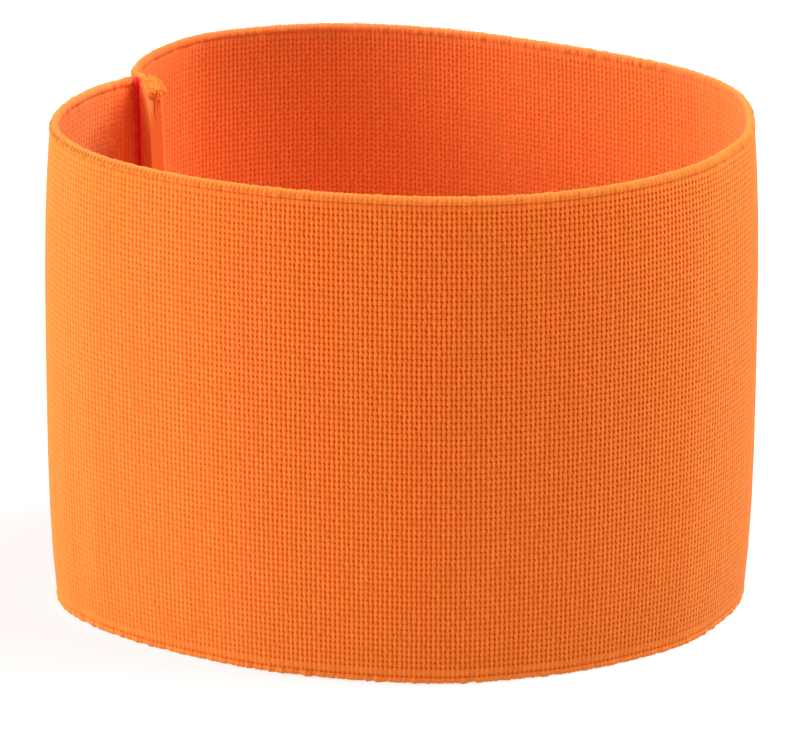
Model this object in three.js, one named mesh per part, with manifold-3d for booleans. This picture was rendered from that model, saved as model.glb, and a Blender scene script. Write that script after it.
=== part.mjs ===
// Hunting armband: one strip of wide woven elastic, sewn into a loop, that stands on its lower edge.
// Millimetres, +Z up. The armhole's axis is Z; the origin is the bottom centre of the bounding box.
import * as THREE from "three";
import Module from "manifold-3d";

const BAND_WIDTH = 80; // width of the webbing, which is the height of the standing loop
const THICKNESS = 1.3; // woven elastic, relaxed
const STATION_SPACING = 3.4; // along the strip, where it is nearly straight
const STATION_TURN = THREE.MathUtils.degToRad(11); // most turn between two stations
const SAMPLES_PER_ROW = 60; // fine samples of the path between two rows of the plan
const BARREL_POWER = 3.2; // how flat the middle of the wall's barrel shape is
const STITCH_WIDTH = 0.9; // sewn line that joins the two turned-in ends, along the ply
const STITCH_BITE = 0.15; // how far the sewn line enters each ply
const STITCH_INSET = 1.8; // sewn line's distance from the top and bottom edges

// The strip's mid-line seen from above, from the near cut end round the loop to the far cut end.
// x, y: at the top edge; midX, midY: how far the wall stands aside half-way down;
// lowX, lowY: how far it stands aside at the bottom edge.
const SEAM_NEAR = [
  { x: -39.7, y: 17.4, midX: 0.9, midY: 0.2, lowX: 0.5, lowY: 0.0 }, // near ply's cut end
  { x: -40.65, y: 21.4, midX: 0.75, midY: 0.2, lowX: 0.4, lowY: 0.0 },
  { x: -41.61, y: 25.32, midX: 0.5, midY: 0.1, lowX: 0.2, lowY: 0.0 }, // the fold begins
  { x: -41.8, y: 25.68, midX: 0.5, midY: 0.1, lowX: 0.2, lowY: 0.0 },
  { x: -42.13, y: 25.89, midX: 0.5, midY: 0.1, lowX: 0.2, lowY: 0.0 },
  { x: -42.53, y: 25.92, midX: 0.5, midY: 0.1, lowX: 0.2, lowY: 0.0 },
  { x: -42.89, y: 25.75, midX: 0.5, midY: 0.1, lowX: 0.2, lowY: 0.0 }, // the fold ends
];
const LOOP = [
  { x: -44.6, y: 24.35, midX: 0.25, midY: 0.3, lowX: 0.0, lowY: 0.0 },
  { x: -46.85, y: 22.25, midX: -0.3, midY: 0.5, lowX: -0.2, lowY: 0.0 },
  { x: -49.1, y: 19.4, midX: -0.8, midY: 0.5, lowX: -0.4, lowY: 0.0 },
  { x: -51.3, y: 15.2, midX: -1.1, midY: 0.4, lowX: -0.6, lowY: 0.0 },
  { x: -53.2, y: 9.9, midX: -1.25, midY: 0.2, lowX: -0.6, lowY: 0.0 },
  { x: -54.1, y: 3.2, midX: -1.3, midY: 0.0, lowX: -0.6, lowY: 0.0 }, // left end
  { x: -53.6, y: -2.3, midX: -1.2, midY: -0.3, lowX: -0.6, lowY: 0.0 },
  { x: -51.9, y: -6.6, midX: -1.0, midY: -0.5, lowX: -0.6, lowY: 0.0 },
  { x: -48.7, y: -12.0, midX: -0.7, midY: -0.8, lowX: -0.2, lowY: 0.6 },
  { x: -42.9, y: -18.0, midX: -0.5, midY: -0.9, lowX: 0.0, lowY: 1.0 },
  { x: -31.6, y: -25.4, midX: -0.3, midY: -1.0, lowX: 0.0, lowY: 1.0 },
  { x: -20.5, y: -30.2, midX: -0.2, midY: -1.0, lowX: 0.0, lowY: 0.5 },
  { x: -7.0, y: -33.7, midX: 0.0, midY: -1.0, lowX: 0.0, lowY: 0.5 },
  { x: 6.6, y: -35.1, midX: 0.0, midY: -1.0, lowX: 0.0, lowY: 0.5 }, // nearest point
  { x: 20.2, y: -33.8, midX: 0.2, midY: -1.0, lowX: 0.0, lowY: 1.5 },
  { x: 33.9, y: -28.4, midX: 0.4, midY: -1.0, lowX: 0.0, lowY: 1.6 },
  { x: 45.3, y: -19.3, midX: 0.8, midY: -0.9, lowX: 0.0, lowY: 0.8 },
  { x: 51.2, y: -9.9, midX: 1.3, midY: -0.6, lowX: -0.2, lowY: 0.1 },
  { x: 54.0, y: -3.2, midX: 1.3, midY: -0.3, lowX: -0.1, lowY: 0.1 },
  { x: 54.95, y: 4.5, midX: 1.25, midY: 0.0, lowX: 0.1, lowY: 0.0 }, // right end
  { x: 54.55, y: 14.2, midX: 1.1, midY: 0.3, lowX: 0.0, lowY: 0.0 },
  { x: 52.3, y: 21.4, midX: 1.0, midY: 0.5, lowX: 0.0, lowY: 0.0 },
  { x: 47.0, y: 29.1, midX: 0.8, midY: 0.7, lowX: 0.0, lowY: 0.0 },
  { x: 36.4, y: 37.6, midX: 0.5, midY: 0.9, lowX: 0.0, lowY: 0.0 },
  { x: 22.0, y: 46.0, midX: 0.3, midY: 1.0, lowX: 0.0, lowY: 0.0 },
  { x: 9.2, y: 52.0, midX: 0.2, midY: 1.0, lowX: 0.0, lowY: 0.0 },
  { x: -4.0, y: 55.3, midX: 0.0, midY: 1.0, lowX: 0.0, lowY: 0.0 }, // furthest point
  { x: -14.0, y: 55.6, midX: -0.1, midY: 1.0, lowX: 0.0, lowY: 0.0 },
  { x: -24.5, y: 53.3, midX: -0.2, midY: 0.9, lowX: 0.0, lowY: 0.0 },
  { x: -33.5, y: 48.8, midX: -0.3, midY: 0.8, lowX: 0.0, lowY: 0.0 },
  { x: -39.9, y: 40.4, midX: -0.4, midY: 0.5, lowX: 0.0, lowY: 0.0 },
  { x: -42.35, y: 33.6, midX: -0.3, midY: 0.2, lowX: 0.0, lowY: 0.0 },
];
const SEAM_FAR = [
  { x: -42.72, y: 29.8, midX: 0.2, midY: 0.1, lowX: 0.1, lowY: 0.0 }, // back section curls in
  { x: -42.5, y: 28.5, midX: 0.4, midY: 0.1, lowX: 0.2, lowY: 0.0 },
  { x: -41.95, y: 27.75, midX: 0.5, midY: 0.1, lowX: 0.2, lowY: 0.0 },
  { x: -41.15, y: 27.2, midX: 0.5, midY: 0.1, lowX: 0.2, lowY: 0.0 },
  { x: -40.45, y: 26.5, midX: 0.5, midY: 0.1, lowX: 0.2, lowY: 0.0 },
  { x: -40.03, y: 25.6, midX: 0.5, midY: 0.1, lowX: 0.2, lowY: 0.0 },
  { x: -39.1, y: 21.79, midX: 0.75, midY: 0.2, lowX: 0.4, lowY: 0.0 },
  { x: -38.15, y: 17.79, midX: 0.9, midY: 0.2, lowX: 0.5, lowY: 0.0 }, // far ply's cut end
];
const PLAN = [...SEAM_NEAR, ...LOOP, ...SEAM_FAR];

// One face of the wall from the bottom edge to the top edge: half-thickness there and height.
// Both edges are a rolled selvedge with a shallow groove beside it; the bottom one is flat below.
const WALL = [
  { half: 0.34, z: 0.0 },
  { half: 0.6, z: 0.22 },
  { half: 0.72, z: 0.7 },
  { half: 0.66, z: 1.15 },
  { half: 0.5, z: 1.5 },
  { half: 0.65, z: 1.95 },
  { half: 0.65, z: 7.0 },
  { half: 0.65, z: 15.0 },
  { half: 0.65, z: 27.0 },
  { half: 0.65, z: 40.0 },
  { half: 0.65, z: 53.0 },
  { half: 0.65, z: 65.0 },
  { half: 0.65, z: 73.0 },
  { half: 0.65, z: 78.05 },
  { half: 0.5, z: 78.5 },
  { half: 0.66, z: 78.85 },
  { half: 0.7, z: 79.3 },
  { half: 0.55, z: 79.75 },
  { half: 0.2, z: 80.0 },
];

// A smooth curve through the plan's points: the top edge, half-way down or the bottom edge.
function planCurve(points) {
  return new THREE.CatmullRomCurve3(points, false, "centripetal");
}
const topCurve = planCurve(PLAN.map((r) => new THREE.Vector3(r.x, r.y, 0)));
const rowCount = PLAN.length;

// How far the wall stands aside at a place of the path, between the rows of the plan.
function aside(t, keyX, keyY) {
  const at = Math.min(Math.max(t * (rowCount - 1), 0), rowCount - 1.000001);
  const i = Math.floor(at);
  const w = THREE.MathUtils.smoothstep(at - i, 0, 1);
  const a = PLAN[i];
  const b = PLAN[i + 1];
  return new THREE.Vector3(
    a[keyX] + (b[keyX] - a[keyX]) * w,
    a[keyY] + (b[keyY] - a[keyY]) * w,
    0,
  );
}

// The mid-line at a place of the path and a height.
function midLine(t, z) {
  const barrel =
    1 - Math.pow(Math.abs(z - BAND_WIDTH / 2) / (BAND_WIDTH / 2), BARREL_POWER);
  const p = topCurve.getPoint(t);
  p.addScaledVector(aside(t, "midX", "midY"), barrel);
  p.addScaledVector(aside(t, "lowX", "lowY"), 1 - z / BAND_WIDTH);
  p.z = z;
  return p;
}

// The wall's outward direction, level, at a place of the path and a height.
function outward(t, z) {
  const step = 1e-4;
  const ahead = midLine(Math.min(t + step, 1), z);
  const behind = midLine(Math.max(t - step, 0), z);
  const along = ahead.sub(behind).normalize();
  return new THREE.Vector3(along.y, -along.x, 0);
}

function surfacePoint(t, half, z) {
  return midLine(t, z).addScaledVector(outward(t, z), half);
}

// Places along the path, closer together where it turns.
function stations() {
  const places = [0];
  const samples = (rowCount - 1) * SAMPLES_PER_ROW;
  let last = topCurve.getPoint(0);
  let heading = topCurve.getTangent(0);
  let run = 0;
  let turn = 0;
  for (let i = 1; i <= samples; i++) {
    const t = i / samples;
    const here = topCurve.getPoint(t);
    const along = topCurve.getTangent(t);
    run += here.distanceTo(last);
    turn += along.angleTo(heading);
    last = here;
    heading = along;
    if (run >= STATION_SPACING || turn >= STATION_TURN || i === samples) {
      places.push(t);
      run = 0;
      turn = 0;
    }
  }
  return places;
}

// A closed solid from rings of points: rings[i][k], each ring the outer face upwards and then
// the inner face downwards, so that the two ends close as a ladder between the faces.
function solidFromRings(rings) {
  const size = rings[0].length;
  const positions = rings.flat().flatMap((p) => [p.x, p.y, p.z]);
  const faces = [];
  for (let i = 0; i + 1 < rings.length; i++) {
    for (let k = 0; k < size; k++) {
      const a = i * size + k;
      const b = i * size + ((k + 1) % size);
      faces.push(a, a + size, b + size, a, b + size, b);
    }
  }
  const end = (rings.length - 1) * size;
  for (let k = 0; k + 1 < size / 2; k++) {
    const far = size - 1 - k;
    faces.push(k, k + 1, far - 1, k, far - 1, far);
    faces.push(end + k, end + far - 1, end + k + 1, end + k, end + far, end + far - 1);
  }
  return { positions, faces };
}

function bandRings() {
  return stations().map((t) => [
    ...WALL.map((w) => surfacePoint(t, w.half, w.z)),
    ...[...WALL].reverse().map((w) => surfacePoint(t, -w.half, w.z)),
  ]);
}

// The sewn line: a slim upright bar that bridges the gap between the two turned-in ends.
function stitchRings() {
  const rowAt = (i) => i / (rowCount - 1);
  const nearFold = rowAt(2);
  const farFold = rowAt(rowCount - 3);
  const nearLength = PLAN[2].y - PLAN[1].y;
  const farLength = PLAN[rowCount - 3].y - PLAN[rowCount - 2].y;
  const nearEnd = nearFold - (rowAt(1) * STITCH_WIDTH) / nearLength;
  const farEnd = farFold + (rowAt(1) * STITCH_WIDTH) / farLength;
  const heights = WALL.map((w) => w.z).filter(
    (z) => z > STITCH_INSET && z < BAND_WIDTH - STITCH_INSET,
  );
  const bite = THICKNESS / 2 - STITCH_BITE;
  return heights.map((z) => [
    surfacePoint(nearFold, bite, z),
    surfacePoint(nearEnd, bite, z),
    surfacePoint(farEnd, bite, z),
    surfacePoint(farFold, bite, z),
  ]);
}

const wasm = await Module();
wasm.setup();

function toManifold({ positions, faces }) {
  const made = new wasm.Manifold(
    new wasm.Mesh({
      numProp: 3,
      vertProperties: new Float32Array(positions),
      triVerts: new Uint32Array(faces),
    }),
  );
  if (made.volume() > 0) return made;
  const turned = [];
  for (let i = 0; i < faces.length; i += 3) {
    turned.push(faces[i], faces[i + 2], faces[i + 1]);
  }
  return toManifold({ positions, faces: turned });
}

function toGeometry(solid) {
  const mesh = solid.getMesh();
  const geometry = new THREE.BufferGeometry();
  geometry.setAttribute(
    "position",
    new THREE.Float32BufferAttribute(mesh.vertProperties, 3),
  );
  geometry.setIndex(new THREE.BufferAttribute(mesh.triVerts, 1));
  geometry.computeVertexNormals();
  return geometry;
}

const elastic = new THREE.MeshStandardMaterial({
  name: "woven_elastic_orange",
  color: 0xf2702a,
  roughness: 0.85,
  metalness: 0,
});

const strip = toManifold(solidFromRings(bandRings()));
const seam = toManifold(solidFromRings(stitchRings()));
const elasticBand = new THREE.Mesh(
  toGeometry(wasm.Manifold.union(strip, seam)),
  elastic,
);
elasticBand.name = "elastic_band";

const armband = new THREE.Group();
armband.name = "hunting_armband";
armband.add(elasticBand);

const box = new THREE.Box3().setFromObject(armband);
const centre = box.getCenter(new THREE.Vector3());
armband.position.set(-centre.x, -centre.y, -box.min.z);

export default armband;
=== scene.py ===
import math

import bpy
import numpy as np
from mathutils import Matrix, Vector


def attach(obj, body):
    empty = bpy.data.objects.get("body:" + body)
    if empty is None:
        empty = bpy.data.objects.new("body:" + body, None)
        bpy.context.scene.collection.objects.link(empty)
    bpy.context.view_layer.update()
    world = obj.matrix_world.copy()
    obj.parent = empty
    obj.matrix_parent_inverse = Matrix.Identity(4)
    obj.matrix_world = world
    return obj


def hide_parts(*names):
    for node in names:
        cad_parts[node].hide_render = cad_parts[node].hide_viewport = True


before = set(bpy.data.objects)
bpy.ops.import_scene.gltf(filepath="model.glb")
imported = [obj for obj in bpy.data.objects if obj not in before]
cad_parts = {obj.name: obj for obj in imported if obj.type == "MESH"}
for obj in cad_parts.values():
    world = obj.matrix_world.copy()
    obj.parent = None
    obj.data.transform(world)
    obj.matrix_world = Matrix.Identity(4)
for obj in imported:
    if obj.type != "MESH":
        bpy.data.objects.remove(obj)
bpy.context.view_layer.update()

MM = 0.001  # the sizes below are millimetres, and the scene is in metres

# The strip of webbing, as in the part's solid.
BAND_WIDTH = 80.0
HALF_THICKNESS = 0.65
BARREL_POWER = 3.2
ARMHOLE_CENTRE = (0.2708, 10.4366)  # from the plan's own zero to the middle of the loop's box

# The weave, from the pitch of its ribs and rows in the photograph.
RIB_PITCH = 0.7415  # cross ribs, counted along the strip
ROW_PITCH = 0.9335  # rubber rows, counted across the strip
COLUMNS_PER_RIB = 4
SAMPLES_PER_ROW = 60

# The strip's mid-line seen from above, from the near cut end round the loop to the far cut end:
# x and y at the top edge, then how far the wall stands aside half-way down, then at the bottom.
PLAN = np.array([
    (-39.85, 17.43, 0.45, 0.20, 0.50, 0.00),  # near ply's cut end
    (-40.22, 21.60, 0.40, 0.20, 0.45, 0.00),
    (-40.78, 23.40, 0.28, 0.15, 0.35, 0.00),  # the ply bends towards the fold
    (-42.05, 25.30, 0.08, 0.10, 0.20, 0.00),  # the fold begins
    (-42.26, 25.66, 0.08, 0.10, 0.20, 0.00),
    (-42.60, 25.86, 0.08, 0.10, 0.20, 0.00),
    (-42.99, 25.86, 0.08, 0.10, 0.20, 0.00),
    (-43.32, 25.66, 0.08, 0.10, 0.20, 0.00),  # the fold ends
    (-44.60, 24.35, -0.05, 0.30, 0.00, 0.00),
    (-46.85, 22.25, -0.30, 0.50, -0.20, 0.00),
    (-49.10, 19.40, -0.80, 0.50, -0.40, 0.00),
    (-51.30, 15.20, -1.10, 0.40, -0.60, 0.00),
    (-53.20, 9.90, -1.25, 0.20, -0.60, 0.00),
    (-54.10, 3.20, -1.30, 0.00, -0.60, 0.00),  # left end
    (-53.60, -2.30, -1.20, -0.30, -0.60, 0.00),
    (-51.90, -6.60, -1.00, -0.50, -0.60, 0.00),
    (-48.70, -12.00, -0.70, -0.80, -0.20, 0.60),
    (-42.90, -18.00, -0.50, -0.90, 0.00, 1.00),
    (-31.60, -25.40, -0.30, -1.00, 0.00, 1.00),
    (-20.50, -30.20, -0.20, -1.00, 0.00, 0.50),
    (-7.00, -33.70, 0.00, -1.00, 0.00, 0.50),
    (6.60, -35.10, 0.00, -1.00, 0.00, 0.50),  # nearest point
    (20.20, -33.80, 0.20, -1.00, 0.00, 1.50),
    (33.90, -28.40, 0.40, -1.00, 0.00, 1.60),
    (45.30, -19.30, 0.80, -0.90, 0.00, 0.80),
    (51.20, -9.90, 1.30, -0.60, -0.20, 0.10),
    (54.00, -3.20, 1.30, -0.30, -0.10, 0.10),
    (54.95, 4.50, 1.25, 0.00, 0.10, 0.00),  # right end
    (54.55, 14.20, 1.10, 0.30, 0.00, 0.00),
    (52.30, 21.40, 1.00, 0.50, 0.00, 0.00),
    (47.00, 29.10, 0.80, 0.70, 0.00, 0.00),
    (36.40, 37.60, 0.50, 0.90, 0.00, 0.00),
    (22.00, 46.00, 0.30, 1.00, 0.00, 0.00),
    (9.20, 52.00, 0.20, 1.00, 0.00, 0.00),
    (-4.00, 55.30, 0.00, 1.00, 0.00, 0.00),  # furthest point
    (-14.00, 55.60, -0.10, 1.00, 0.00, 0.00),
    (-24.50, 53.30, -0.20, 0.90, 0.00, 0.00),
    (-33.50, 48.80, -0.30, 0.80, 0.00, 0.00),
    (-39.90, 40.40, -0.40, 0.50, 0.00, 0.00),
    (-42.35, 33.60, -0.30, 0.20, 0.00, 0.00),
    (-42.72, 29.80, 0.00, 0.10, 0.10, 0.00),  # back section curls in
    (-42.55, 28.60, 0.06, 0.10, 0.20, 0.00),
    (-42.15, 27.95, 0.08, 0.10, 0.20, 0.00),
    (-41.60, 27.35, 0.08, 0.10, 0.20, 0.00),
    (-41.22, 26.70, 0.08, 0.10, 0.20, 0.00),
    (-40.91, 26.08, 0.08, 0.10, 0.20, 0.00),
    (-39.53, 24.00, 0.28, 0.15, 0.35, 0.00),
    (-38.84, 21.67, 0.40, 0.20, 0.45, 0.00),
    (-38.75, 17.50, 0.45, 0.20, 0.50, 0.00),  # far ply's cut end
])

# One face of the wall from the bottom edge to the top edge: half-thickness, height, how much of a
# rolled selvedge it is, and how much of the groove beside the selvedge.
WALL = np.array([
    (0.34, 0.00, 1.0, 0.0),
    (0.56, 0.13, 1.0, 0.0),
    (0.68, 0.36, 1.0, 0.0),
    (0.71, 0.66, 1.0, 0.0),
    (0.67, 0.95, 0.8, 0.0),
    (0.57, 1.18, 0.3, 1.0),
    (0.62, 1.38, 0.1, 0.4),
    (0.65, 1.65, 0.0, 0.0),
    (0.65, 8.0, 0.0, 0.0),
    (0.65, 16.0, 0.0, 0.0),
    (0.65, 25.0, 0.0, 0.0),
    (0.65, 35.0, 0.0, 0.0),
    (0.65, 45.0, 0.0, 0.0),
    (0.65, 55.0, 0.0, 0.0),
    (0.65, 64.0, 0.0, 0.0),
    (0.65, 72.0, 0.0, 0.0),
    (0.65, 75.8, 0.0, 0.0),
    (0.65, 78.20, 0.0, 0.0),
    (0.61, 78.46, 0.1, 0.4),
    (0.56, 78.62, 0.3, 1.0),
    (0.68, 78.84, 0.8, 0.0),
    (0.74, 79.14, 1.0, 0.0),
    (0.67, 79.44, 0.8, 0.0),
    (0.52, 79.68, 0.6, 0.0),
    (0.34, 79.85, 0.5, 0.0),
    (0.12, 79.92, 0.4, 0.0),
])

# The heights between which the section is upright, and how far the upper bead goes on above them.
LOWER_BEAD = 0.6
UPPER_BEAD = 79.14
UPPER_BEAD_RISE = 0.83

# How much the weave stands out along the strip, in relief and in the painted shade of its pits and
# valleys: distance from the near cut end, and the share, as judged. The share is lower at the
# loop's left, where strong side light fills the pits, and higher at its right.
WEAVE_SHOWN_ALONG = np.array([
    (0.0, 1.0),
    (38.0, 1.0),
    (50.0, 0.76),
    (66.0, 0.66),
    (80.0, 0.76),
    (92.0, 0.95),
    (118.0, 1.15),
    (144.0, 1.3),
    (160.0, 1.1),
    (180.0, 1.0),
    (243.0, 1.0),
    (262.0, 1.1),
    (285.0, 1.25),
    (310.0, 1.0),
])


def plan_rows(t):
    """The plan's points on either side of each place t of the path, and how far between them."""
    last = len(PLAN) - 1
    place = np.clip(t * last, 0.0, last - 1e-6)
    row = place.astype(int)
    return row, place - row


def top_line(t):
    """The top edge's mid-line: a centripetal Catmull-Rom curve through the plan's points."""
    points = PLAN[:, :2]
    before = 2 * points[0] - points[1]
    after = 2 * points[-1] - points[-2]
    p = np.vstack([before, points, after])
    row, w = plan_rows(t)
    p0, p1, p2, p3 = p[row], p[row + 1], p[row + 2], p[row + 3]
    d0 = np.sqrt(np.linalg.norm(p1 - p0, axis=1))[:, None]
    d1 = np.sqrt(np.linalg.norm(p2 - p1, axis=1))[:, None]
    d2 = np.sqrt(np.linalg.norm(p3 - p2, axis=1))[:, None]
    m1 = d1 * ((p1 - p0) / d0 - (p2 - p0) / (d0 + d1) + (p2 - p1) / d1)
    m2 = d1 * ((p2 - p1) / d1 - (p3 - p1) / (d1 + d2) + (p3 - p2) / d2)
    w = w[:, None]
    return (p1 + m1 * w + (3 * p2 - 3 * p1 - 2 * m1 - m2) * w**2
            + (2 * p1 - 2 * p2 + m1 + m2) * w**3)


def mid_line(t, z):
    """The wall's mid-line at places t of the path and a height z, in the part's frame."""
    row, w = plan_rows(t)
    w = (w * w * (3 - 2 * w))[:, None]
    aside = PLAN[row, 2:] * (1 - w) + PLAN[row + 1, 2:] * w
    barrel = 1 - abs(z / (BAND_WIDTH / 2) - 1) ** BARREL_POWER
    return (top_line(t) + aside[:, :2] * barrel + aside[:, 2:] * (1 - z / BAND_WIDTH)
            - np.array(ARMHOLE_CENTRE))


def outward(t, z):
    """The wall's outward direction, level, at places t of the path and a height z."""
    step = 1e-4
    along = mid_line(np.minimum(t + step, 1), z) - mid_line(np.maximum(t - step, 0), z)
    along /= np.linalg.norm(along, axis=1)[:, None]
    return np.stack([along[:, 1], -along[:, 0]], 1)


def wall_point(t, side, z):
    """Points on the wall, side millimetres outwards of its mid-line, in metres."""
    flat = mid_line(t, z) + outward(t, z) * side
    return np.column_stack([flat, np.full(len(flat), z)]) * MM


# Places of the path by distance along the strip.
fine = np.linspace(0, 1, (len(PLAN) - 1) * SAMPLES_PER_ROW + 1)
fine_line = top_line(fine)
run = np.concatenate([[0], np.cumsum(np.linalg.norm(np.diff(fine_line, axis=0), axis=1))])
STRIP_LENGTH = run[-1]
RIBS = round(STRIP_LENGTH / RIB_PITCH)
FLANGE = 8.3  # from each cut end to the fold
SEAM_IN = 0.6  # from the fold to the seam's stitches

# The cut ends: lengths are from the cut, and heights are up the webbing.
THINNED_END = 3.4
END_THINNING = 0.16  # the share of its thickness that each ply loses
NEAR_PLY_WEAR = 0.4  # the share that the near ply's inner side loses besides
END_ROUNDING = 0.4
NOTCH_HEIGHT = 78.4
NOTCH_REACH = 0.2  # above and below that height
NOTCH_LENGTH = 1.6
NOTCH_DEPTH = 0.7
PRESSED_FROM_FOLD = 1.2  # from here to the cut, the plies are pressed on each other
PLY_PRESSING = 0.03  # how far each ply's face is moved towards the other
PARTED_FROM = 73.5  # above this height the ends stand a little apart
PLY_PARTING = 0.07

# Heights at the top of the webbing.
PLAIN_FROM = 73.4  # the pattern fades above this, where the back section curls in
PLAIN_SHARE = 0.85
DRAWN_FROM = 76.0  # the front is drawn down above this
DRAWN_DOWN = 0.18

# The weave's relief, before each place's share.
RIB_DEPTH = 0.10
LOOP_DEPTH = 0.19

# The red stitches of the seam. The middles of the lowest and the highest are these.
SEAM_LOW = 2.2
SEAM_HIGH = 78.2
STITCH_SPACING = 2.7
STITCH_LENGTH = 4.1
STITCH_THICKNESS = 0.64

# The tack over the top of the cut ends, and the frayed yarn that stands on it.
TACK_TURNS = 30
TACK_START = 0.3  # from the cut ends
TACK_SPACING = 0.2
TACK_HEIGHT = 79.75
TACK_THICKNESS = 0.4
TACK_BULGE = 0.75
BULGE_LENGTH = 5.6
FRAY_DENSITY = 30.0  # yarn ends per square millimetre
FRAY_LENGTH = 0.42
FRAY_THICKNESS = 0.1
FRAY_HEIGHT = 79.9


def place_at(along):
    """The place t of the path at a distance along the strip from the near cut end."""
    return np.interp(along, run, fine)


def linear(hex_colour):
    """An sRGB hex colour as linear red, green, blue and alpha."""
    parts = [int(hex_colour[i:i + 2], 16) / 255 for i in (1, 3, 5)]
    return [c / 12.92 if c <= 0.04045 else ((c + 0.055) / 1.055) ** 2.4 for c in parts] + [1.0]


def add(tree, kind, links=(), **settings):
    """A node with its settings. links are its inputs in order, or by name or number in a dict:
    each is a value, a socket, or a node whose first output is meant."""
    node = tree.nodes.new(kind)
    for name, value in settings.items():
        setattr(node, name, value)
    pairs = links.items() if isinstance(links, dict) else enumerate(links)
    for name, source in pairs:
        if isinstance(source, bpy.types.Node):
            source = source.outputs[0]
        if isinstance(source, bpy.types.NodeSocket):
            tree.links.new(source, node.inputs[name])
        else:
            node.inputs[name].default_value = source
    return node


def maths(tree, operation, *values, clamp=False):
    """A sum of up to three values."""
    return add(tree, "ShaderNodeMath", values, operation=operation, use_clamp=clamp)


def ramp(tree, value, over=(0.0, 1.0), to=(0.0, 1.0), smooth=False):
    """A value that goes over one range, turned into one that goes over another and stays in it."""
    return add(tree, "ShaderNodeMapRange", {
        0: value, 1: over[0], 2: over[1], 3: to[0], 4: to[1]},
        interpolation_type="SMOOTHSTEP" if smooth else "LINEAR")


def mixed(tree, share, first, second, blend="MIX"):
    """The first colour with a share of the second one in it."""
    node = add(tree, "ShaderNodeMix", {0: share, 6: first, 7: second},
               data_type="RGBA", blend_type=blend)
    return node.outputs[2]


def fact(tree, name):
    """What a mesh carries at each point under a name, for its material."""
    return add(tree, "ShaderNodeAttribute", attribute_name=name).outputs["Fac"]


def new_material(name):
    """A material without nodes, and its tree."""
    mat = bpy.data.materials.new(name)
    mat.use_nodes = True
    mat.node_tree.nodes.clear()
    return mat, mat.node_tree


def shape_tree(name, inputs):
    """A geometry tree with named inputs: its name, and each input's name, kind and value."""
    tree = bpy.data.node_groups.new(name, "GeometryNodeTree")
    face = tree.interface
    face.new_socket("Geometry", in_out="INPUT", socket_type="NodeSocketGeometry")
    for label, kind, value in inputs:
        socket = face.new_socket(label, in_out="INPUT", socket_type=kind)
        if value is not None:
            socket.default_value = value
    face.new_socket("Material", in_out="INPUT", socket_type="NodeSocketMaterial")
    face.new_socket("Geometry", in_out="OUTPUT", socket_type="NodeSocketGeometry")
    return tree, tree.nodes.new("NodeGroupInput").outputs, tree.nodes.new("NodeGroupOutput")


def end_tree(tree, given, result, shape):
    """Ends a geometry tree: its instances made real, and its material set."""
    real = add(tree, "GeometryNodeRealizeInstances", [shape])
    dressed = add(tree, "GeometryNodeSetMaterial", {
        "Geometry": real, "Material": given["Material"]})
    tree.links.new(dressed.outputs[0], result.inputs[0])
    return tree


def made_by(tree, host_mesh, values, name):
    """The plain mesh that a geometry tree makes of a host mesh."""
    host = bpy.data.objects.new(name + "_host", host_mesh)
    scene = bpy.context.scene
    scene.collection.objects.link(host)
    changer = host.modifiers.new(tree.name, "NODES")
    changer.node_group = tree
    for item in tree.interface.items_tree:
        if item.item_type == "SOCKET" and item.in_out == "INPUT" and item.name in values:
            changer[item.identifier] = values[item.name]
    bpy.context.view_layer.update()
    seen = host.evaluated_get(bpy.context.evaluated_depsgraph_get())
    mesh = bpy.data.meshes.new_from_object(seen)
    mesh.name = name
    host.modifiers.remove(changer)
    bpy.data.objects.remove(host)
    mesh.shade_smooth()
    mesh.set_sharp_from_angle(angle=math.radians(75))
    piece = bpy.data.objects.new(name, mesh)
    scene.collection.objects.link(piece)
    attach(piece, "root")
    return piece


# The strip of woven elastic.

def share_above(z, start, reach):
    """How much of a change is there at a height: none at its start, and all of it at its reach."""
    return min(max((z - start) / reach, 0), 1)


def tube_faces(columns, size):
    """The faces of a tube with so many columns of so many points, closed at both ends."""
    i, k = np.meshgrid(np.arange(columns - 1), np.arange(size), indexing="ij")
    a = i * size + k
    b = i * size + (k + 1) % size
    quads = np.stack([a, a + size, b + size, b], -1).reshape(-1, 4)
    end = (columns - 1) * size
    n = np.arange(size // 2 - 1)
    first = np.stack([n, n + 1, size - 2 - n, size - 1 - n], 1)
    final = np.stack([end + n, end + size - 1 - n, end + size - 2 - n, end + n + 1], 1)
    return np.concatenate([quads, first, final]).tolist()


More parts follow.
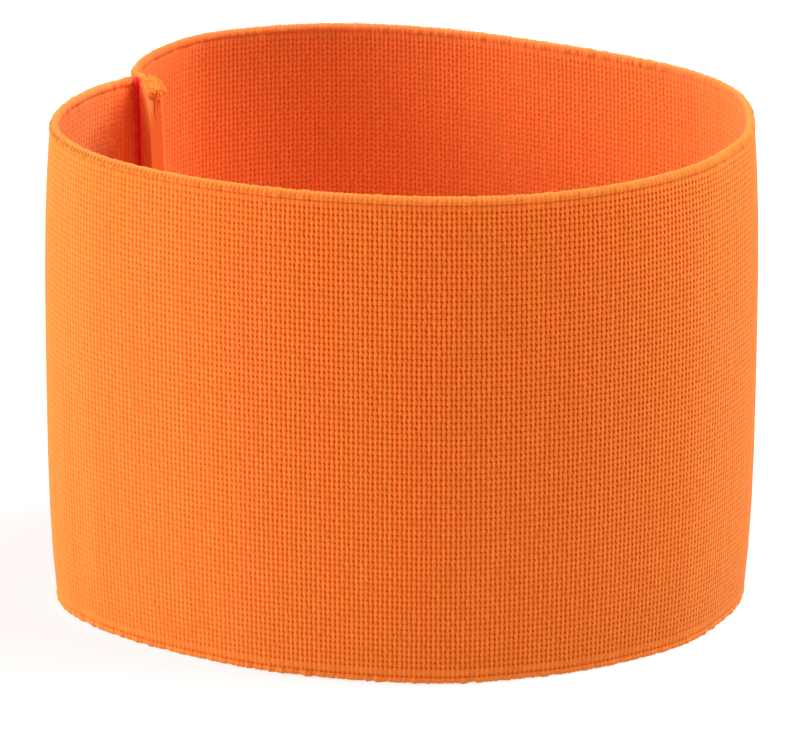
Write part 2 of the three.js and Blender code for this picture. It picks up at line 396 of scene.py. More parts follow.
def strip_mesh():
    """The strip as a smooth closed mesh that carries, at each point, its distance along and up the
    webbing, which face it is on, how much of a selvedge or groove it is, how far the cut end is,
    how much of the weave and its painted shade shows, how much relief it has, and how much
    painted red glow and painted pale light its yarn takes."""
    columns = RIBS * COLUMNS_PER_RIB + 1
    along = np.linspace(0, STRIP_LENGTH, columns)
    from_far = STRIP_LENGTH - along
    from_cut = np.minimum(along, from_far)
    near_ply = along < STRIP_LENGTH / 2
    weave_shown = np.interp(along, WEAVE_SHOWN_ALONG[:, 0], WEAVE_SHOWN_ALONG[:, 1])
    # The selvedge's loops are pulled flat where the back section curls in, its groove too, and
    # under them the webbing is left without a pattern.
    loops = np.interp(from_far, [35, 55], [0.4, 1.0])
    groove_inside = np.interp(along, [20, 40], [0.6, 1.0])
    groove_inside *= np.interp(from_far, [35, 60], [0.2, 1.0])
    plain_inside = PLAIN_SHARE * np.interp(from_far, [24, 36], [1.0, 0.0])
    # The front's top edge is drawn down a little.
    drawn_down = DRAWN_DOWN * np.interp(along, [40, 70, 180, 215], [0.0, 1.0, 1.0, 0.0])
    # Painted light on the inner face. In the corner beside the seam, and from the far cut end some
    # way
    # back, the yarn is painted a deeper red: a painted glow of light bounced between the orange
    # walls, which also tones down the far cut end's light corner. Before the corner, on the near
    # section, it is
    # painted pale: painted light where the lamps reach too little.
    painted_red_glow = np.interp(along, [6, 9, 11, 15], [0.0, 0.5, 0.5, 0.0])
    painted_red_glow += np.interp(from_far, [0, 3, 30, 45], [0.9, 0.4, 0.4, 0.0])
    painted_pale_light = np.interp(along, [10, 13, 17, 21, 29], [0.0, 0.65, 0.65, 0.35, 0.0])
    # The plies thin towards their cut ends, are rounded there, and are pressed on each other.
    # Below the tacked bead, the near ply's cut end has a small notch.
    at_end = np.clip(1 - from_cut / THINNED_END, 0, 1)
    thinning = 1 - END_THINNING * at_end
    rounding = np.sqrt(1 - (1 - np.clip(from_cut / END_ROUNDING, 0, 1)) ** 2)
    in_flange = np.clip(FLANGE - PRESSED_FROM_FOLD - from_cut, 0, 1)
    notch = np.clip(1 - from_cut / NOTCH_LENGTH, 0, 1) ** 2
    faces = [(row, 1.0) for row in WALL] + [(row, -1.0) for row in WALL[::-1]]
    size = len(faces)
    points = np.zeros((columns, size, 3))
    away = np.zeros((columns, size, 3))
    relief = np.zeros((columns, size))
    weave_shown_here = np.zeros((columns, size))
    groove_here = np.zeros((columns, size))
    inside = np.zeros(size)
    for k, ((half, z, selvedge, groove), s) in enumerate(faces):
        inside[k] = s < 0
        notch_here = math.exp(-((z - NOTCH_HEIGHT) / NOTCH_REACH) ** 2)
        t = place_at(along + near_ply * notch * notch_here * NOTCH_DEPTH)
        level = outward(t, z)
        # The near ply is worn thinner. The touching faces are square at the cut, and a narrow gap
        # is left between them near the top.
        softness = 0.0 if s > 0 else 0.1
        worn = NEAR_PLY_WEAR * near_ply * at_end * (s < 0)
        end_form = (thinning - worn) * (1 - softness * (1 - rounding))
        parted = PLY_PARTING * share_above(z, PARTED_FROM, 3.0) * at_end
        pressed = (PLY_PRESSING * in_flange - parted) * (s > 0)
        points[:, k, :2] = mid_line(t, z) + level * (s * half * end_form + pressed)[:, None]
        points[:, k, 2] = z - drawn_down * share_above(z, DRAWN_FROM, 3.0)
        lean = section_lean(z)
        away[:, k, :2] = level * s * math.cos(lean)
        away[:, k, 2] = math.sin(lean)
        pattern = weave_shown * (1 - inside[k] * plain_inside * share_above(z, PLAIN_FROM, 4.8))
        weave_shown_here[:, k] = pattern * (1 - selvedge) + selvedge
        groove_here[:, k] = groove * (1 - inside[k] * (1 - groove_inside))
        loop_share = (1 - 0.4 * inside[k]) * (0.5 if z < BAND_WIDTH / 2 else 1.0)
        raised = pattern * (1 - selvedge) + loops * selvedge * loop_share
        relief[:, k] = raised * np.clip(from_cut / 0.9, 0, 1)
        # The two plies' touching faces are pressed flat.
        if s > 0:
            relief[:, k] *= np.clip((from_cut - FLANGE) / 2.0, 0, 1)
    mesh = bpy.data.meshes.new("strip")
    mesh.from_pydata((points.reshape(-1, 3) * MM).tolist(), [], tube_faces(columns, size))
    section = np.array([list(row) + [s] for row, s in faces])
    facts = {
        "along_mm": np.repeat(along, size),
        "from_cut_mm": np.repeat(from_cut, size),
        "up_mm": np.tile(section[:, 1], columns),
        "selvedge": np.tile(section[:, 2], columns),
        "groove": groove_here.reshape(-1),
        "painted_red_glow": np.outer(painted_red_glow, inside).reshape(-1),
        "painted_pale_light": np.outer(painted_pale_light, inside).reshape(-1),
        "face_side": np.tile(section[:, 4], columns),
        "relief": relief.reshape(-1),
        "weave_shown": weave_shown_here.reshape(-1),
    }
    for name, values in facts.items():
        mesh.attributes.new(name, "FLOAT", "POINT").data.foreach_set(
            "value", values.astype(np.float32))
    mesh.attributes.new("away", "FLOAT_VECTOR", "POINT").data.foreach_set(
        "vector", away.reshape(-1).astype(np.float32))
    return mesh


def section_lean(z):
    """How far the section's surface looks up (or down) from level at a height, in radians."""
    if z < LOWER_BEAD:
        return -math.pi / 2 * (1 - z / LOWER_BEAD) ** 1.2
    if z > UPPER_BEAD:
        return math.pi / 2 * ((z - UPPER_BEAD) / UPPER_BEAD_RISE) ** 1.2
    return 0.0


def weave_relief_tree():
    """Raises each cross rib as a rounded ridge, and the selvedges' loops further."""
    tree, given, result = shape_tree("weave relief", [
        ("Rib pitch mm", "NodeSocketFloat", RIB_PITCH),
        ("Rib depth mm", "NodeSocketFloat", RIB_DEPTH),
        ("Selvedge loop depth mm", "NodeSocketFloat", LOOP_DEPTH),
        ("Seed", "NodeSocketInt", 0),
    ])
    along = add(tree, "GeometryNodeInputNamedAttribute", ["along_mm"])
    edge = add(tree, "GeometryNodeInputNamedAttribute", ["selvedge"])
    share = add(tree, "GeometryNodeInputNamedAttribute", ["relief"])
    away = add(tree, "GeometryNodeInputNamedAttribute", ["away"], data_type="FLOAT_VECTOR")
    ribs = maths(tree, "DIVIDE", along, given["Rib pitch mm"])
    turn = maths(tree, "MULTIPLY", ribs, math.pi)
    wave = maths(tree, "SINE", turn)
    lobe = maths(tree, "ABSOLUTE", wave)
    ridge = maths(tree, "POWER", lobe, 0.65)
    raised = maths(tree, "SUBTRACT", ridge, 0.62)
    depth = ramp(tree, edge, to=(given["Rib depth mm"], given["Selvedge loop depth mm"]))
    # Loops differ a little in size.
    which = maths(tree, "FLOOR", ribs)
    which_seeded = maths(tree, "ADD", which, given["Seed"])
    chance = add(tree, "ShaderNodeTexWhiteNoise", {"W": which_seeded}, noise_dimensions="1D")
    uneven = ramp(tree, chance, to=(0.75, 1.1))
    amount = maths(tree, "MULTIPLY", raised, depth)
    varied = maths(tree, "MULTIPLY", amount, uneven)
    shared = maths(tree, "MULTIPLY", varied, share)
    # The selvedge wavers: a few loops stand out, others are drawn in.
    spot = maths(tree, "ADD", along, given["Seed"])
    waver = add(tree, "ShaderNodeTexNoise", {"W": spot, "Scale": 0.7, "Detail": 2.0},
                noise_dimensions="1D")
    centred = maths(tree, "SUBTRACT", waver, 0.5)
    at_edge = maths(tree, "MULTIPLY", centred, edge)
    with_waver = maths(tree, "MULTIPLY_ADD", at_edge, 0.65, shared)
    metres = maths(tree, "MULTIPLY", with_waver, MM)
    offset = add(tree, "ShaderNodeVectorMath", {0: away, 3: metres}, operation="SCALE")
    moved = add(tree, "GeometryNodeSetPosition", {"Geometry": given["Geometry"], "Offset": offset})
    # The lower selvedge rests on the table, so nothing goes below it.
    place = add(tree, "ShaderNodeSeparateXYZ", [add(tree, "GeometryNodeInputPosition")])
    lifted = maths(tree, "MAXIMUM", place.outputs["Z"], 0.0)
    on_table = add(tree, "ShaderNodeCombineXYZ", [place.outputs["X"], place.outputs["Y"], lifted])
    rested = add(tree, "GeometryNodeSetPosition", {"Geometry": moved, "Position": on_table})
    return end_tree(tree, given, result, rested)


# Heights at which the pattern of rows and the gaps between the top bead's loops come in and go.
ROWS_IN = (2.15, 2.6)
ROWS_OUT = (78.35, 77.6)
GAPS_IN = (79.0, 79.3)
GAPS_OUT = (79.85, 79.6)

# How far a pit reaches either way, in ribs and in rows.
PIT_ACROSS = 0.40
PIT_UPRIGHT = 0.34

# The elastic's colours, set by comparing renders with the photograph.
CREST_OUTSIDE = "#f37e32"
# The inner crest is a shaded copy of the same yarn: painted shade, duller red and a little bluer,
# for the inside of the loop.
CREST_INSIDE = "#eb7d3e"
# The valley and pit colours are painted shade: the yarn darkened and made more red for the shade in
# the weave's hollows.
VALLEY = "#e9590e"
PIT = "#c62a00"
CUT_END_PALE_LIT = "#fe8e46"
LOOP_GAP_SHADE = "#743a06"
PALE_LIGHT_BY_SEAM = "#ff8a4a"
RED_GLOW_BY_SEAM = "#ff6424"
THREAD_GLOW_PAINTED = "#f02a28"
# Painted shade where the yarn is seen edge-on: a little red taken out of it, and the pits made
# browner.
SHADE_ASIDE = (0.88, 1.0, 1.0, 1.0)  # multiplies the yarn's colour where it is seen edge-on
PIT_SHADE_ASIDE = (0.62, 0.93, 0.6, 1.0)  # the same for the pits


def rib_and_row(tree, along, up, side, inner):
    """Where a point is in the weave. A rib's edge is a whole number, and so is a row's middle:
    the rib's number, the nearest edge and row, and how far the point is across and above them."""
    rib = maths(tree, "DIVIDE", along, STRIP_LENGTH / RIBS)
    rib_number = maths(tree, "FLOOR", rib)
    near_edge = maths(tree, "ROUND", rib)
    off_edge = maths(tree, "SUBTRACT", rib, near_edge)
    # A rib's edge wavers a little on its way up.
    edge_number = maths(tree, "MULTIPLY", near_edge, 7.3)
    edge_place = add(tree, "ShaderNodeCombineXYZ", [edge_number, up, side])
    edge_waver = add(tree, "ShaderNodeTexNoise", {
        "Vector": edge_place, "Scale": 1.1, "Detail": 1.0})
    wavering = maths(tree, "MULTIPLY_ADD", edge_waver.outputs[0], 0.5, off_edge)
    across = maths(tree, "SUBTRACT", wavering, 0.25)
    # On the inner side, every other rib's rows stand a little lower.
    every_other = maths(tree, "FLOORED_MODULO", near_edge, 2.0)
    stagger = maths(tree, "MULTIPLY", every_other, inner)
    row = maths(tree, "DIVIDE", up, ROW_PITCH)
    row_here = maths(tree, "MULTIPLY_ADD", stagger, 0.2, row)
    near_row = maths(tree, "ROUND", row_here)
    above = maths(tree, "SUBTRACT", row_here, near_row)
    return rib_number, near_edge, near_row, across, above


def pit_depth(tree, near_edge, near_row, side, across, above, inner):
    """The pits: small slanting ovals where a rib's edge crosses a row, softer on the inner side."""
    cell = add(tree, "ShaderNodeCombineXYZ", [near_edge, near_row, side])
    uneven = add(tree, "ShaderNodeTexWhiteNoise", [cell], noise_dimensions="3D")
    higher = add(tree, "ShaderNodeSeparateXYZ", [uneven.outputs["Color"]])
    higher_here = ramp(tree, higher, to=(-0.1, 0.1))
    above_here = maths(tree, "ADD", above, higher_here)
    slant = maths(tree, "MULTIPLY_ADD", across, 0.5, above_here)
    wide = maths(tree, "DIVIDE", across, PIT_ACROSS)
    tall = maths(tree, "DIVIDE", slant, PIT_UPRIGHT)
    oval = add(tree, "ShaderNodeCombineXYZ", [wide, tall])
    reach = add(tree, "ShaderNodeVectorMath", [oval], operation="LENGTH").outputs["Value"]
    pit = ramp(tree, reach, (1.0, 0.2), smooth=True)
    strength = ramp(tree, uneven.outputs["Value"], to=(0.64, 1.01))
    soft_inside = maths(tree, "MULTIPLY_ADD", inner, -0.5, strength)
    return maths(tree, "MULTIPLY", pit, soft_inside)


def bead_gap_shade(tree, along, up, off_edge, facing, inner):
    """Painted shade between the top bead's loops, just under its crest, most at the left and where
    the bead is seen from aside.
    """
    gap_low = ramp(tree, up, GAPS_IN)
    gap_high = ramp(tree, up, GAPS_OUT)
    gap = maths(tree, "MULTIPLY", gap_low, gap_high)
    between = ramp(tree, off_edge, (0.42, 0.14), smooth=True)
    gap_left = ramp(tree, along, (150.0, 90.0), to=(0.3, 1.0))
    gap_open = maths(tree, "MULTIPLY", between, gap_left)
    gap_here = maths(tree, "MULTIPLY", gap, gap_open)
    from_aside = ramp(tree, facing, (0.05, 0.35), to=(0.2, 0.9))
    gap_outside = ramp(tree, inner, to=(0.9, 0.15))
    gap_seen = maths(tree, "MULTIPLY", gap_here, from_aside)
    return maths(tree, "MULTIPLY", gap_seen, gap_outside)


def painted_light_by_seam(tree, colour, cut, up, side, inner):
    """A colour with painted light by the seam: painted pale beside it, then a deeper red in the
    corner, a painted glow of light bounced between the orange walls, and a painted red glow of
    light bounced off the red thread round the fold."""
    pale = mixed(tree, fact(tree, "painted_pale_light"), colour, linear(PALE_LIGHT_BY_SEAM))
    red = mixed(tree, fact(tree, "painted_red_glow"), pale, linear(RED_GLOW_BY_SEAM))
    # A painted red glow round the fold, light bounced off the red thread, in uneven patches on the
    # inner face.
    from_fold = maths(tree, "SUBTRACT", cut, FLANGE)
    off_fold = maths(tree, "ABSOLUTE", from_fold)
    thread_glow = ramp(tree, off_fold, (2.4, 0.9), to=(0.0, 1.4))
    glow_place = add(tree, "ShaderNodeCombineXYZ", [cut, up, side])
    patches = add(tree, "ShaderNodeTexNoise", {"Vector": glow_place, "Scale": 0.9, "Detail": 3.0})
    uneven_glow = maths(tree, "MULTIPLY", thread_glow, patches.outputs[0])
    glow_inside = maths(tree, "MULTIPLY", uneven_glow, inner, clamp=True)
    return mixed(tree, glow_inside, red, linear(THREAD_GLOW_PAINTED))


def painted_shade_aside(tree, colour, deep, facing, inner):
    """A colour with painted shade where it is seen edge-on: a little less red, on the outer side
    most, and browner in the pits."""
    edge_on = ramp(tree, facing, (0.08, 0.5))
    outer = ramp(tree, inner, to=(1.0, 0.8))
    edge_on_outside = maths(tree, "MULTIPLY", edge_on, outer)
    shaded = mixed(tree, edge_on_outside, colour, SHADE_ASIDE, "MULTIPLY")
    deep_aside = maths(tree, "MULTIPLY", deep, edge_on)
    pit_shade_share = maths(tree, "MULTIPLY", deep_aside, 1.5, clamp=True)
    return mixed(tree, pit_shade_share, shaded, PIT_SHADE_ASIDE, "MULTIPLY")


def unevenly_dyed(tree, colour, rib_number, near_row, side):
    """A colour that each rib's yarn took a little differently, and each crossing too."""
    strand = add(tree, "ShaderNodeCombineXYZ", [rib_number, side])
    dye = add(tree, "ShaderNodeTexWhiteNoise", [strand], noise_dimensions="2D")
    dye_hue = ramp(tree, dye.outputs["Value"], to=(0.4985, 0.5015))
    loop = add(tree, "ShaderNodeCombineXYZ", [rib_number, near_row, side])
    loop_dye = add(tree, "ShaderNodeTexWhiteNoise", [loop], noise_dimensions="3D")
    loop_value = ramp(tree, loop_dye.outputs["Value"], to=(0.93, 1.05))
    return add(tree, "ShaderNodeHueSaturation", {
        "Hue": dye_hue, "Value": loop_value, "Color": colour})


def elastic_material():
    """Woven elastic: dyed polyester yarn over rubber rows, hi-vis orange. The ribs are matt yarn
    that scatters light softly, and the crossings between ribs and rows are pits, with painted
    shade in their colour and hollows in the bump."""
    mat, tree = new_material("woven_elastic_polyester_orange")
    along = fact(tree, "along_mm")
    up = fact(tree, "up_mm")
    side = fact(tree, "face_side")
    cut = fact(tree, "from_cut_mm")
    inner = ramp(tree, side, (0.0, -0.2))
    facing = add(tree, "ShaderNodeLayerWeight", [0.5]).outputs["Facing"]
    rib_number, near_edge, near_row, across, above = rib_and_row(tree, along, up, side, inner)

    # How much of the weave shows. Seen edge-on, the ribs hide their pits and valleys.
    low_end = ramp(tree, up, ROWS_IN)
    high_end = ramp(tree, up, ROWS_OUT)
    in_rows = maths(tree, "MULTIPLY", low_end, high_end)
    from_cut = ramp(tree, cut, (0.3, 0.9))
    open_view = ramp(tree, facing, (0.08, 0.60), to=(1.0, 0.35))
    seen = maths(tree, "MULTIPLY", from_cut, open_view)
    clear = maths(tree, "MULTIPLY", seen, fact(tree, "weave_shown"))
    # Low down, light from the table reaches into the pits.
    low_down = ramp(tree, up, (48.0, 18.0), to=(1.0, 0.8))
    lit_rows = maths(tree, "MULTIPLY", in_rows, low_down)
    woven = maths(tree, "MULTIPLY", lit_rows, clear)
    pits = pit_depth(tree, near_edge, near_row, side, across, above, inner)
    pits_shown = maths(tree, "MULTIPLY", pits, woven, clamp=True)

    # Between two pits runs a faint line, and along a rib's edge a shallow valley; in the colour
    # both are painted shade.
    off_row = maths(tree, "ABSOLUTE", above)
    line = ramp(tree, off_row, (0.24, 0.03), smooth=True)
    line_shown = maths(tree, "MULTIPLY", line, woven)
    off_edge = maths(tree, "ABSOLUTE", across)
    valley = ramp(tree, off_edge, (0.33, 0.02), smooth=True)
    valley_depth = ramp(tree, fact(tree, "selvedge"), to=(1.0, 0.2))
    less_inside = maths(tree, "MULTIPLY_ADD", inner, -0.25, valley_depth)
    valley_here = maths(tree, "MULTIPLY", valley, less_inside)
    plain_zone = ramp(tree, in_rows, to=(0.55, 1.0))
    valley_seen = maths(tree, "MULTIPLY", valley_here, plain_zone)
    valley_shown = maths(tree, "MULTIPLY", valley_seen, clear)
    low_line = maths(tree, "MULTIPLY_ADD", line_shown, 0.38, valley_shown)

    # The groove beside the selvedge, darkened in the colour as painted shade, is broken up by the
    # ribs, and shallower on the inner side.
    groove_broken = maths(tree, "MULTIPLY_ADD", valley, 0.6, 0.4)
    groove_here = maths(tree, "MULTIPLY", fact(tree, "groove"), groove_broken)
    less_groove = ramp(tree, inner, to=(1.0, 0.4))
    groove_seen = maths(tree, "MULTIPLY", groove_here, less_groove)
    groove_shown = maths(tree, "MULTIPLY", groove_seen, seen)

    # Colour: the yarn's crest, with painted shade in the valleys and grooves and the darkest
    # painted shade in the pits. The heat-cut ends are smooth and pale, partly their own colour and
    # partly painted light.
    low = maths(tree, "MULTIPLY_ADD", groove_shown, 1.0, low_line, clamp=True)
    crest = mixed(tree, inner, linear(CREST_OUTSIDE), linear(CREST_INSIDE))
    yarn = mixed(tree, low, crest, linear(VALLEY))
    deep = maths(tree, "MULTIPLY_ADD", groove_shown, 0.65, pits_shown, clamp=True)
    pitted = mixed(tree, deep, yarn, linear(PIT))
    # Painted light on the cut ends: a pale colour, partly their heat-cut yarn and partly light the
    # lamps hardly give them.
    at_cut = ramp(tree, cut, (0.14, 0.04))
    pale_lit_end = mixed(tree, at_cut, pitted, linear(CUT_END_PALE_LIT))
    gap_shade = bead_gap_shade(tree, along, up, off_edge, facing, inner)
    # Painted shade between the top bead's loops.
    gap_shaded = mixed(tree, gap_shade, pale_lit_end, linear(LOOP_GAP_SHADE))
    seam_lit = painted_light_by_seam(tree, gap_shaded, cut, up, side, inner)
    shaded = painted_shade_aside(tree, seam_lit, deep, facing, inner)
    colour = unevenly_dyed(tree, shaded, rib_number, near_row, side)

    # Relief that is too fine for the mesh: the pits, the line between them and the yarn's twist.
    fine_place = add(tree, "ShaderNodeCombineXYZ", [along, up, side])
    stretched = add(tree, "ShaderNodeVectorMath", [fine_place, (9.0, 2.2, 1.0)],
                    operation="MULTIPLY")
    fibres = add(tree, "ShaderNodeTexNoise", {"Vector": stretched, "Scale": 1.0, "Detail": 3.0})
    hollow = maths(tree, "MULTIPLY", pits_shown, -1.0)
    hollow_line = maths(tree, "MULTIPLY_ADD", line_shown, -0.3, hollow)
    height = maths(tree, "MULTIPLY_ADD", fibres.outputs[0], 0.25, hollow_line)
    bump = add(tree, "ShaderNodeBump", {"Height": height, "Distance": 0.12 * MM, "Strength": 0.9})
    shader = add(tree, "ShaderNodeBsdfPrincipled", {
        "Base Color": colour, "Roughness": 0.85, "Normal": bump,
        "Sheen Weight": 0.05, "Sheen Roughness": 0.5, "Specular IOR Level": 0.05})
    add(tree, "ShaderNodeOutputMaterial", [shader])
    return mat


def yarn_material(name, colour, shade):
    """Spun polyester thread: matt, darker and lighter in patches."""
    mat, tree = new_material(name)
    place = add(tree, "ShaderNodeTexCoord").outputs["Object"]
    plies = add(tree, "ShaderNodeTexNoise", {"Vector": place, "Scale": 1.6 / MM, "Detail": 4.0})
    dyed = mixed(tree, plies.outputs[0], linear(colour), linear(shade))
    bump = add(tree, "ShaderNodeBump", {
        "Height": plies.outputs[0], "Distance": 0.05 * MM, "Strength": 0.8})
    shader = add(tree, "ShaderNodeBsdfPrincipled", {
        "Base Color": dyed, "Roughness": 0.8, "Normal": bump,
        "Specular IOR Level": 0.2})
    add(tree, "ShaderNodeOutputMaterial", [shader])
    return mat


def leaning(tree, places, reach, seed):
    """Each place's rotation, turned at random by up to reach either way."""
    turn = add(tree, "FunctionNodeRandomValue", {
        0: [-angle for angle in reach], 1: reach, "Seed": seed}, data_type="FLOAT_VECTOR")
    return add(tree, "FunctionNodeRotateRotation", {
        "Rotation": places.outputs["Rotation"], "Rotate By": turn}, rotation_space="LOCAL")


def round_thread(tree, path, thickness, sides):
    """A thread along a path."""
    radius = maths(tree, "MULTIPLY", thickness, 0.5)
    ring = add(tree, "GeometryNodeCurvePrimitiveCircle", {"Resolution": sides, "Radius": radius})
    return add(tree, "GeometryNodeCurveToMesh", {
        "Curve": path, "Profile Curve": ring, "Fill Caps": True})


def stitch_row_tree():
    """A row of single stitches along a path, each a short thread with rounded ends."""
    tree, given, result = shape_tree("stitch row", [
        ("Stitch spacing", "NodeSocketFloat", STITCH_SPACING * MM),
        ("Stitch length", "NodeSocketFloat", STITCH_LENGTH * MM),
        ("Thread thickness", "NodeSocketFloat", STITCH_THICKNESS * MM),
        ("Seed", "NodeSocketInt", 0),
    ])
    path = add(tree, "GeometryNodeMeshToCurve", [given["Geometry"]])
    places = add(tree, "GeometryNodeCurveToPoints", {
        "Curve": path, "Length": given["Stitch spacing"]}, mode="LENGTH")
    ball = add(tree, "GeometryNodeMeshUVSphere", {"Segments": 8, "Rings": 6, "Radius": 0.5})
    form = add(tree, "ShaderNodeCombineXYZ", [
        given["Thread thickness"], given["Thread thickness"], given["Stitch length"]])
    lean = leaning(tree, places, (0.06, 0.06, 0.06), given["Seed"])
    placed = add(tree, "GeometryNodeInstanceOnPoints", {
        "Points": places, "Instance": ball, "Rotation": lean, "Scale": form})
    return end_tree(tree, given, result, placed)


def thread_tree():
    """One thread along a path."""
    tree, given, result = shape_tree("thread", [
        ("Thread thickness", "NodeSocketFloat", TACK_THICKNESS * MM)])
    path = add(tree, "GeometryNodeMeshToCurve", [given["Geometry"]])
    thread = round_thread(tree, path, given["Thread thickness"], 6)
    return end_tree(tree, given, result, thread)


def frayed_tree():
    """Short curved yarn ends that stand at random on a patch of cloth."""
    tree, given, result = shape_tree("frayed yarn", [
        ("Yarn ends per square mm", "NodeSocketFloat", FRAY_DENSITY),
        ("Yarn end length", "NodeSocketFloat", FRAY_LENGTH * MM),
        ("Yarn thickness", "NodeSocketFloat", FRAY_THICKNESS * MM),
        ("Seed", "NodeSocketInt", 3),
    ])
    density = maths(tree, "MULTIPLY", given["Yarn ends per square mm"], 1 / MM**2)
    places = add(tree, "GeometryNodeDistributePointsOnFaces", {
        "Mesh": given["Geometry"], "Density": density, "Seed": given["Seed"]})
    arc = add(tree, "GeometryNodeCurveQuadraticBezier", {
        "Resolution": 4, "Start": (0, 0, -0.1), "Middle": (0.1, 0, 0.6), "End": (0.7, 0, 0.8)})
    all_ways = add(tree, "ShaderNodeCombineXYZ", [given["Yarn end length"]] * 3)
    real_size = add(tree, "GeometryNodeTransform", {"Geometry": arc, "Scale": all_ways})
    end = round_thread(tree, real_size, given["Yarn thickness"], 4)
    lean = leaning(tree, places, (0.9, 0.9, math.pi), given["Seed"])
    scale = add(tree, "FunctionNodeRandomValue", {
        "Min": 0.45, "Max": 1.3, "Seed": given["Seed"]}, data_type="FLOAT")
    placed = add(tree, "GeometryNodeInstanceOnPoints", {
        "Points": places, "Instance": end, "Rotation": lean, "Scale": scale.outputs["Value"]})
    return end_tree(tree, given, result, placed)


def path_mesh(points):
    """A path as a mesh of edges."""
    mesh = bpy.data.meshes.new("path")
    mesh.from_pydata([tuple(p) for p in points],
                     [(i, i + 1) for i in range(len(points) - 1)], [])
    return mesh


def point_on(along, side, z):
    """One point on the strip: distance along it, millimetres outwards and height."""
    return wall_point(place_at(np.array([along])), side, z)[0]


band = made_by(weave_relief_tree(), strip_mesh(), {
    "Rib pitch mm": STRIP_LENGTH / RIBS,
    "Rib depth mm": RIB_DEPTH,
    "Selvedge loop depth mm": LOOP_DEPTH,
    "Seed": 11,
    "Material": elastic_material(),
}, "woven_elastic_strip")
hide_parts("elastic_band")

# The seam: a row of stitches through both plies, close to the fold, seen on either ply.
seam_thread = yarn_material("spun_polyester_thread_red", "#ea2230", "#a41022")
heights = np.linspace(SEAM_LOW, SEAM_HIGH, 60)
row_tree = stitch_row_tree()
for name, along in (("near", FLANGE - SEAM_IN), ("far", STRIP_LENGTH - FLANGE + SEAM_IN)):
    path = [point_on(along, -HALF_THICKNESS - 0.1, z) for z in heights]
    made_by(row_tree, path_mesh(path), {
        "Stitch spacing": STITCH_SPACING * MM,
        "Stitch length": STITCH_LENGTH * MM,
        "Thread thickness": STITCH_THICKNESS * MM,
        "Seed": 5,
        "Material": seam_thread,
    }, "seam_stitches_" + name)

# The tack that closes the top of the seam: thread to and fro over both plies' top edges. It bulges
# over the far ply, most of all half-way along.
tack_thread = yarn_material("spun_polyester_thread_orange", "#ffa244", "#fc9238")


def tack_edges(along, near_z, far_z):
    """Points over the near ply's and the far ply's outer side, at a distance from the cut ends."""
    bulge = TACK_BULGE * math.sin(math.pi * min((along + 0.6) / BULGE_LENGTH, 1.0))
    return (point_on(along, -0.3, near_z),
            point_on(STRIP_LENGTH - along, -0.45 - bulge, far_z - 0.5 * bulge))


zigzag = []
for n in range(TACK_TURNS):
    rise = TACK_HEIGHT + 0.12 * math.sin(n * 2.3)
    near_side, far_side = tack_edges(TACK_START + n * TACK_SPACING, rise, rise)
    middle = (near_side + far_side) / 2 + np.array([0, 0, 0.45 * MM])
    zigzag += [near_side, middle, far_side, middle + np.array([0, 0.1 * MM, 0])]
tack = made_by(thread_tree(), path_mesh(zigzag), {
    "Thread thickness": TACK_THICKNESS * MM,
    "Material": tack_thread,
}, "seam_tack")


def tack_patch():
    """The top edges of both plies and the top of their cut ends, as a patch to stand yarn on."""
    lines = [(a, FRAY_HEIGHT, FRAY_HEIGHT) for a in np.linspace(6.6, 0.1, 14)]
    lines += [(0.02, 79.4, 79.1), (0.02, 79.0, 78.3)]
    points = []
    for along, near_z, far_z in lines:
        near_side, far_side = tack_edges(along, near_z, far_z)
        points += [near_side, (near_side + far_side) / 2 + np.array([0, 0, 0.5 * MM]), far_side]
    faces = []
    for i in range(0, 3 * (len(lines) - 1), 3):
        faces += [(i, i + 3, i + 4, i + 1), (i + 1, i + 4, i + 5, i + 2)]
    mesh = bpy.data.meshes.new("tack_patch")
    mesh.from_pydata([tuple(p) for p in points], [], faces)
    return mesh


fray = made_by(frayed_tree(), tack_patch(), {
    "Yarn ends per square mm": FRAY_DENSITY,
    "Yarn end length": FRAY_LENGTH * MM,
    "Yarn thickness": FRAY_THICKNESS * MM,
    "Seed": 3,
    "Material": tack_thread,
}, "frayed_seam_yarn")


# Floor, light and camera.

FLOOR_REACH = 6.0  # metres each way

# The camera, fitted to the rims, the outline and the pitch of the weave in the photograph.
PHOTO_WIDTH = 800.0  # pixels
FOCAL_LENGTH = 5348.1  # pixels
SENSOR_WIDTH = 36.0
LOOK_DOWN = 20.179  # degrees
CAMERA_BACK = 797.83  # from the plan's own zero
CAMERA_HEIGHT = 333.21


def floor_material():
    """Matt white acrylic of a light table: lit from below too, so shadows on it are faint."""
    mat, tree = new_material("matt_white_acrylic_light_table")
    shader = add(tree, "ShaderNodeBsdfPrincipled", {
        "Base Color": linear("#8c8c8c"), "Roughness": 0.9, "Specular IOR Level": 0.1,
        "Emission Color": linear("#ffffff"), "Emission Strength": 0.7})
    add(tree, "ShaderNodeOutputMaterial", [shader])
    return mat


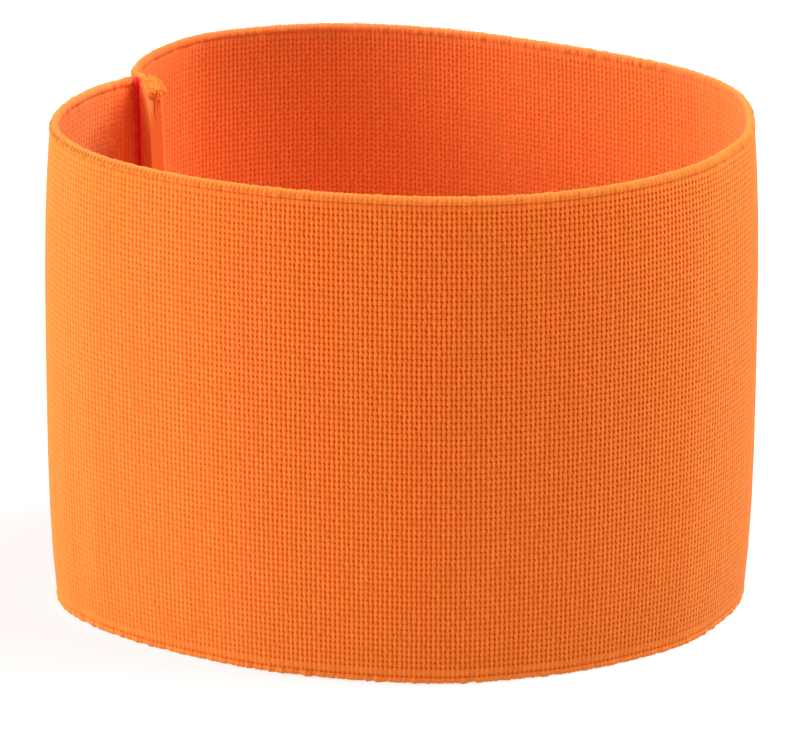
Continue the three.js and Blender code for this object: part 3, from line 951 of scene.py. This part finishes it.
floor_mesh = bpy.data.meshes.new("floor")
corners = [(-1, -1, 0), (1, -1, 0), (1, 1, 0), (-1, 1, 0)]
floor_mesh.from_pydata([Vector(corner) * FLOOR_REACH for corner in corners], [], [(0, 1, 2, 3)])
floor_mesh.materials.append(floor_material())
floor = bpy.data.objects.new("floor", floor_mesh)
bpy.context.scene.collection.objects.link(floor)


def softbox(name, azimuth, elevation, power, distance=1.3, size=0.8):
    """A square soft light aimed at the armband. Azimuth is in degrees from the camera's side,
    counted towards the right."""
    lamp = bpy.data.lights.new(name, "AREA")
    lamp.shape = "SQUARE"
    lamp.size = size
    lamp.energy = power
    holder = bpy.data.objects.new(name, lamp)
    turn, rise = math.radians(azimuth), math.radians(elevation)
    aim = Vector((0, 0, BAND_WIDTH / 2 * MM))
    direction = Vector((math.sin(turn) * math.cos(rise), -math.cos(turn) * math.cos(rise),
                        math.sin(rise)))
    holder.location = aim + direction * distance
    holder.rotation_euler = (-direction).to_track_quat("-Z", "Y").to_euler()
    bpy.context.scene.collection.objects.link(holder)


softbox("softbox_left", -100, 18, 19.0)
softbox("softbox_left_front", -75, 30, 9.5)
softbox("softbox_right", 100, 55, 30.5)
softbox("softbox_front", 0, 35, 4.0)

world = bpy.data.worlds.new("white_studio")
world.use_nodes = True
bpy.context.scene.world = world
background = world.node_tree.nodes["Background"]
background.inputs["Color"].default_value = (1.0, 1.0, 1.0, 1.0)
background.inputs["Strength"].default_value = 0.04

bpy.context.scene.view_settings.view_transform = "Standard"

camera_data = bpy.data.cameras.new("camera")
camera_data.sensor_width = SENSOR_WIDTH
camera_data.lens = FOCAL_LENGTH * SENSOR_WIDTH / PHOTO_WIDTH
camera_data.clip_start = 0.05
camera_data.clip_end = 30.0
camera = bpy.data.objects.new("camera", camera_data)
camera.location = Vector((
    -ARMHOLE_CENTRE[0], -CAMERA_BACK - ARMHOLE_CENTRE[1], CAMERA_HEIGHT)) * MM
camera.rotation_euler = (math.radians(90 - LOOK_DOWN), 0, 0)
bpy.context.scene.collection.objects.link(camera)
bpy.context.scene.camera = camera
